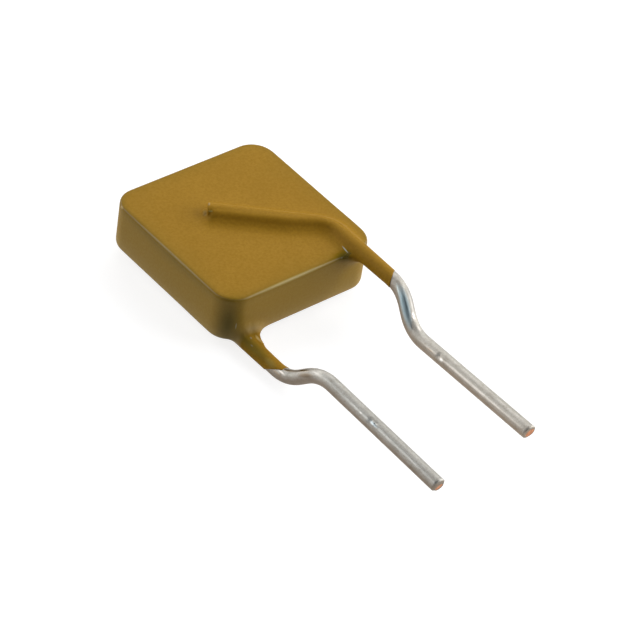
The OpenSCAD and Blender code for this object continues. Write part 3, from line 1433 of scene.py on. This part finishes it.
# On the upper kink: a grey patch of painted shade that dims its highlight, a painted blue reflection with a
# cyan line and dark lines of painted reflection, and painted pink highlights. Along the tail: a painted
# highlight line, a brown tint, painted shade in the dent and a painted white highlight after it.
UPPER_TIN_MARKS = (
    Mark((2.90, -7.75, 1.05), ALONG_UPPER_KINK, (0.95, 0.18, 0.18), GREY_TIN_SHADE, 0.85),
    Mark((2.52, -7.82, 0.90), ALONG_UPPER_KINK, (1.10, 0.24, 0.24), KINK_BLUE_REFLECTION, 0.9),
    Mark((2.64, -7.15, 1.27), ALONG_UPPER_KINK, (0.45, 0.06, 0.06), CYAN_TIN_REFLECTION, 0.7),
    Mark((2.60, -7.75, 1.02), ALONG_UPPER_KINK, (0.55, 0.03, 0.05), DARK_TIN_REFLECTION_AND_SHADE, 0.12),
    Mark((2.37, -8.50, 0.46), ALONG_UPPER_KINK, (0.28, 0.03, 0.05), DARK_TIN_REFLECTION_AND_SHADE, 0.5),
    Mark((2.64, -8.27, 0.65), ALONG_UPPER_KINK, (0.20, 0.11, 0.11), PINK_TIN_HIGHLIGHT, 0.8),
    Mark((2.55, -8.80, 0.42), ALONG_UPPER_KINK, (0.26, 0.11, 0.11), PINK_TIN_HIGHLIGHT, 0.7),
    Mark((2.195, -12.5, 0.337), ALONG_UPPER_TAIL, (3.6, 0.09, 0.09), PINK_TIN_HIGHLIGHT, 0.25),
    Mark((2.22, -9.96, 0.23), ALONG_UPPER_TAIL, (0.25, 0.05, 0.06), BROWN_TIN, 0.6),
    Mark((2.27, -10.46, 0.31), ALONG_UPPER_TAIL, (0.07, 0.06, 0.06), DARK_TIN_REFLECTION_AND_SHADE, 0.7),
    Mark((2.20, -10.69, 0.24), ALONG_UPPER_TAIL, (0.15, 0.08, 0.08), WHITE_TIN_HIGHLIGHT, 0.7),
)
# On the lower kink: dark brown and umber tints. By the sleeve's end: a dark brown tint and a painted pink
# highlight, with a painted pink highlight on the second bend. Along the tail: a cool tint, then by the dents
# a painted pink highlight, painted shade and a blue tint.
LOWER_TIN_MARKS = (
    Mark((-2.87, -7.42, -0.50), ALONG_LOWER_KINK, (1.10, 0.13, 0.13), DARK_BROWN_TIN, 0.4),
    Mark((-2.94, -7.00, -0.77), ALONG_LOWER_KINK, (0.45, 0.13, 0.13), UMBER_TIN, 0.5),
    Mark((-2.81, -7.83, -0.21), ALONG_LOWER_KINK, (0.45, 0.13, 0.13), UMBER_TIN, 0.5),
    Mark((-2.92, -8.08, -0.24), ALONG_LOWER_KINK, (0.55, 0.14, 0.14), UMBER_TIN, 0.8),
    Mark((-3.22, -6.68, -1.05), ALONG_UPPER_TAIL, (0.50, 0.09, 0.09), DARK_BROWN_TIN, 0.6),
    Mark((-3.125, -6.86, -0.90), ALONG_UPPER_TAIL, (0.36, 0.06, 0.06), PINK_TIN_HIGHLIGHT, 0.6),
    Mark((-2.67, -8.48, 0.12), ALONG_UPPER_TAIL, (0.50, 0.15, 0.15), PINK_TIN_HIGHLIGHT, 0.22),
    Mark((-2.655, -12.6, 0.11), ALONG_LOWER_TAIL, (5.0, 0.14, 0.08), COOL_TIN, 0.09),
    Mark((-2.69, -11.34, 0.14), ALONG_LOWER_TAIL, (0.10, 0.06, 0.05), PINK_TIN_HIGHLIGHT, 0.3),
    Mark((-2.72, -11.80, 0.07), ALONG_LOWER_TAIL, (0.18, 0.08, 0.08), DARK_TIN_REFLECTION_AND_SHADE, 0.3),
    Mark((-2.66, -12.10, 0.12), ALONG_LOWER_TAIL, (0.35, 0.12, 0.05), BLUE_TIN, 0.4),
)

UPPER_TIN = TinFinish("upper_tin", UPPER_TIN_MARKS)
LOWER_TIN = TinFinish(
    "lower_tin",
    LOWER_TIN_MARKS,
    bright=(0.52, 0.51, 0.475),
    dull=(0.41, 0.40, 0.365),
    stained=(0.33, 0.285, 0.235),
    underside_shade=(0.27, 0.205, 0.145),
)

UPPER_LEAD = Lead(Side.UPPER, (Nick(1.95, -45.0, 0.05, 0.2),), rim=0.065)
LOWER_LEAD = Lead(
    Side.LOWER,
    (Nick(3.36, 147.0, 0.03, 0.2), Nick(3.69, 162.0, 0.03, 0.15)),
    cut_slant=13.0,
    core_shift=(-0.06, 0.12),
    rim=0.085,
)


def main() -> None:
    """Builds and dresses each piece, then the studio round it."""
    logging.basicConfig(level=logging.INFO, format="%(message)s")
    copper = COPPER.material()
    for lead, tin in ((UPPER_LEAD, UPPER_TIN), (LOWER_LEAD, LOWER_TIN)):
        piece = lead.build()
        into_frame(piece)
        lead.dress(piece, tin.material(), copper)
        LOG.info("%s: %d faces", piece.name, len(piece.data.polygons))
    coat = DippedCoat(PAINTED_SHADES)
    piece = coat.build()
    into_frame(piece)
    coat.dress(piece, EpoxyFinish(EPOXY_MARKS).material())
    LOG.info("%s: %d faces", piece.name, len(piece.data.polygons))
    SealedStack().dress()
    Studio().build()


if __name__ == "__main__":
    main()
